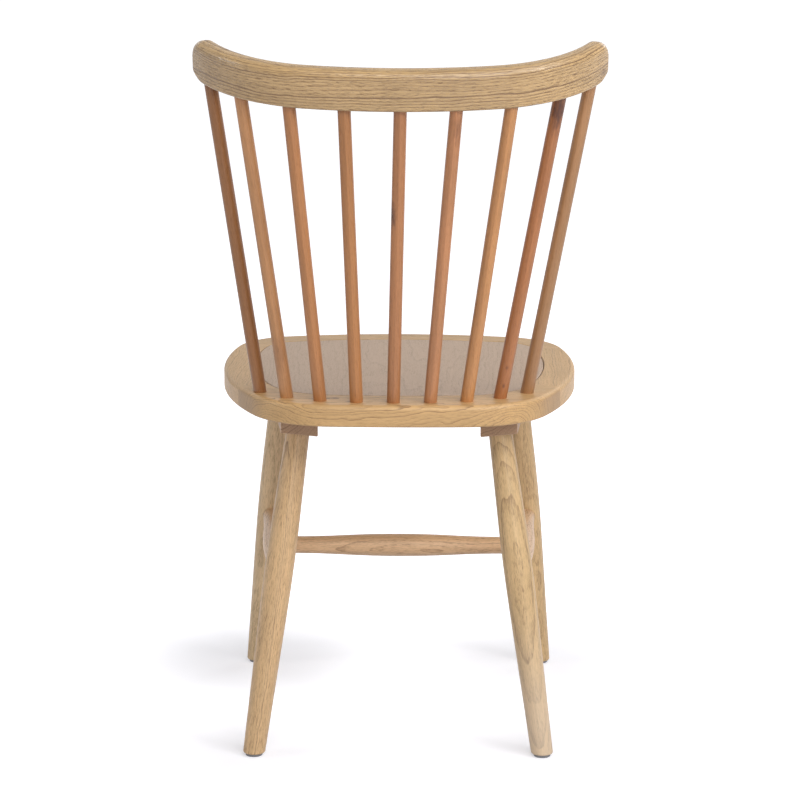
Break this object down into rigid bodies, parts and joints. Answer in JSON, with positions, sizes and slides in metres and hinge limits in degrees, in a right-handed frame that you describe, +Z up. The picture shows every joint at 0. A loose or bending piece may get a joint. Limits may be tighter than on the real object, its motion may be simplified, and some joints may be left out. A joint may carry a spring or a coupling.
{
  "type": "dining chair",
  "caption": "Wooden dining chair with a spindle back, a bent crest rail, a framed flat seat and splayed turned legs tied by an H of stretchers.",
  "frame": {"origin": "on the floor, under the middle of the whole chair", "axes": "+Z is up, the sitter faces -Y, and the sitter's left hand is at +X"},
  "size_m": [0.4818, 0.515, 0.8797],
  "materials": {
    "panel_wood": "clear matt lacquer, grain front to back",
    "rim_wood": "clear matt lacquer, grain along each segment",
    "rail_wood": "clear matt lacquer, grain along the bend",
    "spindle_wood": "clear matt lacquer, warmer brown, tone differs from stick to stick",
    "leg_wood": "clear matt lacquer, grain along the leg",
    "stretcher_wood": "clear matt lacquer, grain along the rod",
    "cleat_wood": "clear matt lacquer, darker end grain",
    "dowel_wood": "bare wood",
    "glide_plastic": "plain grey",
    "fastener_steel": "zinc plated"
  },
  "bodies": {
    "root": {"seat_panel": "panel_wood", "seat_rim_front": "rim_wood", "seat_rim_left": "rim_wood", "seat_rim_rear": "rim_wood", "seat_rim_right": "rim_wood", "rim_dowels": "dowel_wood", "crest_rail": "rail_wood", "spindle_1": "spindle_wood", "spindle_2": "spindle_wood", "spindle_3": "spindle_wood", "spindle_4": "spindle_wood", "spindle_5": "spindle_wood", "spindle_6": "spindle_wood", "spindle_7": "spindle_wood", "spindle_8": "spindle_wood", "spindle_9": "spindle_wood", "cleat_left": "cleat_wood", "cleat_right": "cleat_wood", "cleat_screws": "fastener_steel", "leg_front_left": "leg_wood", "leg_front_right": "leg_wood", "leg_rear_left": "leg_wood", "leg_rear_right": "leg_wood", "side_stretcher_left": "stretcher_wood", "side_stretcher_right": "stretcher_wood", "cross_stretcher": "stretcher_wood", "glide_front_left": "glide_plastic", "glide_front_right": "glide_plastic", "glide_rear_left": "glide_plastic", "glide_rear_right": "glide_plastic", "glide_nails": "fastener_steel"}
  },
  "joints": []
}
